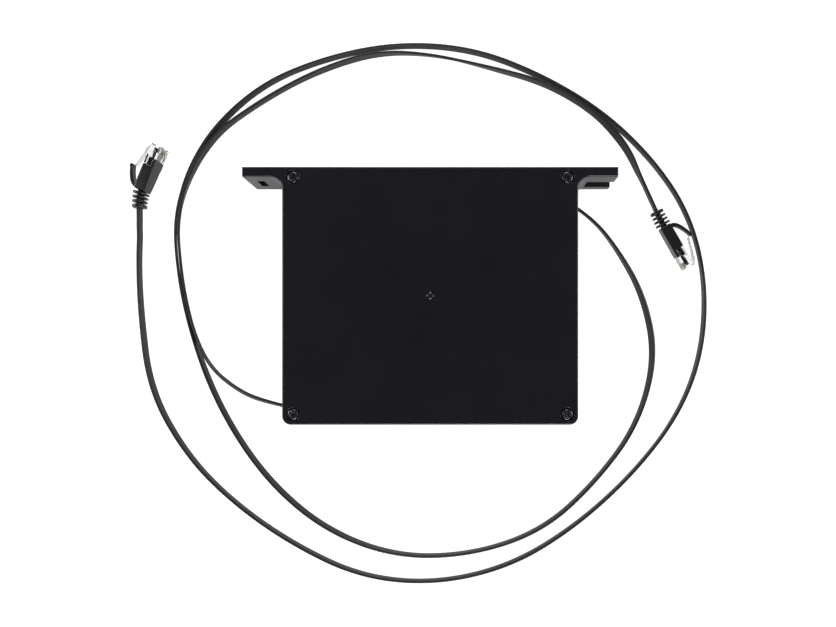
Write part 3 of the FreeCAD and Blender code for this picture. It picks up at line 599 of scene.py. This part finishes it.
# The stations below run from the boot's rear face towards the plug's tip, in millimetres.
for side in PLUGS:
    origin, tip, latch_way, upper = plug_axes(side)
    steps = [0, 0.2, 0.6, 4, 8, 12, 16.6, 17.0, 17.2]
    shrink = np.array([0.6, 0.25, 0, 0, 0, 0, 0, 0.15, 0.4])
    wide = np.array([5.1, 5.1, 5.15, 5.55, 5.85, BOOT_WIDE, BOOT_WIDE, BOOT_WIDE, BOOT_WIDE])
    block = block_rings(side, steps, BOOT_TALL - shrink, wide - shrink, corner=0.8)
    tongue_steps = [16.5, 16.8, 21.5, 21.85, 22.0]
    tongue_shrink = np.array([0.3, 0, 0, 0.12, 0.35])
    tongue = block_rings(side, tongue_steps, TONGUE_HALF - tongue_shrink, BOOT_WIDE - tongue_shrink,
                         corner=0.3, centre_latch=TONGUE_MIDDLE)
    boot = add_skin(side + "_moulded_boot", block, tongue, neck_rings(side))
    finish_piece(boot, boot_paint, "root", "boot", side + "_boot")

    guard_rings = arm_rings(side, GUARD_ROUTE, guard_thick, guard_wide, corner=0.45)
    guard = add_skin(side + "_guard_arm", guard_rings)
    finish_piece(guard, boot_paint, side + "_guard", "boot", side + "_guard")

    latch_rings = arm_rings(side, LATCH_ROUTE, latch_thick, latch_wide, corner=0.2)
    latch = add_skin(side + "_latch_tab", latch_rings)
    finish_piece(latch, latch_shade_paint, side + "_latch", "plug_clear", side + "_latch")

    body = rounded_copy(side + "_plug_body", side + "_clear_body", 0.3)
    finish_piece(body, clear_paint, "root", "plug_clear", side + "_plug_body")

    blades = rounded_copy(side + "_contacts", side + "_gold_blades", 0.08)
    finish_piece(blades, gold_paint, "root", "gold", side + "_contacts")

    jacket_end = block_rings(side, [10.2, 10.4, 22.1, 22.4], np.array([1.4, 1.5, 1.5, 1.3]),
                             np.array([3.5, 3.6, 3.6, 3.4]), corner=0.4, centre_latch=0.4)
    wedge = block_rings(side, [17.4, 17.6, 22.4, 22.7], np.array([1.5, 1.6, 1.6, 1.4]),
                        np.array([3.5, 3.6, 3.6, 3.3]), corner=0.3, centre_latch=0.5)
    cores = []
    for number in range(CORE_COUNT):
        spread = number - (CORE_COUNT - 1) / 2
        row = CORE_ROW if number % 2 else -CORE_ROW
        core_line = smooth_line(side + "_core_line", [
            tuple(origin + tip * x + latch_way * (row * y + CORE_SHIFT) + upper * spread * pitch)
            for x, y, pitch in ((22.8, 0.6, 0.72), (24.0, 0.8, 0.76), (25.6, 1.0, 0.93), (29.4, 1.0, 0.95))])
        ahead = unit(np.gradient(core_line, axis=0))
        level = unit(np.cross(upper, ahead))
        turn = np.linspace(0, 2 * math.pi, 14, endpoint=False)
        round_a = level[:, None] * np.cos(turn)[:, None] * CORE_RADIUS * MM
        round_b = upper * np.sin(turn)[:, None] * CORE_RADIUS * MM
        cores.append(core_line[:, None] + round_a + round_b)
    wires = add_skin(side + "_jacket_and_cores", jacket_end, wedge, *cores)
    finish_piece(wires, core_paint, "root", "cores", side + "_wires")

# ---------------------------------------------------------------- inside
# The reel turns on a steel post inside the closed housing: acetal core and flanges, the wound turns
# of the lead, a blued mainspring, and a pawl beside a toothed ring. Two rollers guide the lead.
acetal_paint = Paint("grey_acetal")
acetal_paint.colour(60.0, (0.09, 0.09, 0.10), (0.12, 0.12, 0.13))
acetal_paint.roughness(90.0, 0.12, 0.36)
steel_paint = Paint("turned_steel", Metallic=1.0)
steel_paint.colour(240.0, (0.50, 0.51, 0.53), (0.60, 0.61, 0.63))
steel_paint.roughness(800.0, 0.2, 0.22)
blued_paint = Paint("blued_spring_steel", Metallic=1.0)
blued_paint.colour(180.0, (0.18, 0.20, 0.26), (0.30, 0.31, 0.36))
blued_paint.roughness(700.0, 0.18, 0.26)
for paint, nodes in (
        (acetal_paint, ("spool_core", "middle_flange", "upper_flange", "ratchet_ring", "pawl",
                        "right_roller", "left_roller")),
        (steel_paint, ("axle_post", "lower_washer", "upper_washer", "pawl_pin", "right_roller_pin",
                       "left_roller_pin")),
        (blued_paint, ("retaining_clip", "mainspring", "pawl_spring"))):
    for node in nodes:
        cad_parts[node].material_slots[0].material = paint.material


HUB_FACE = 28.2
FLANGE_GAP = 0.1
STRIP_SHARE = 0.94
STEPS_PER_TURN = 64


def wound_turns(low, outer_radius, turns):
    """A flat strip wound on the hub as a spiral: round for the first half turn, and then its radius
    grows evenly with the turn."""
    turn = np.linspace(0, 2 * math.pi * turns, int(STEPS_PER_TURN * turns))
    pitch = (outer_radius - HUB_FACE) / turns
    radius = HUB_FACE + pitch / 2 + (pitch * (turn / (2 * math.pi) - 0.5)).clip(0)
    outwards = np.stack([np.cos(turn), np.sin(turn), np.zeros_like(turn)], 1)
    across, along = box_ring(pitch * STRIP_SHARE / 2 * MM, LEAD_WIDTH / 2 * MM, 0.5 * MM, per_corner=3)
    upwards = np.array([0, 0, 1])
    middle = (outwards * radius[:, None] + upwards * (low + LEAD_WIDTH / 2 + FLANGE_GAP)) * MM
    return middle[:, None] + outwards[:, None] * across[..., None] + upwards * along[..., None]


for node, low, outer_radius, turns in (("wound_long_lead", 9.4, 45.0, 9.0),
                                       ("coiled_short_lead", 17.4, 39.2, 6.0)):
    winding = add_skin(node + "_turns", wound_turns(low, outer_radius, turns))
    finish_piece(winding, jacket_paint, "reel", "lead_jacket", node)
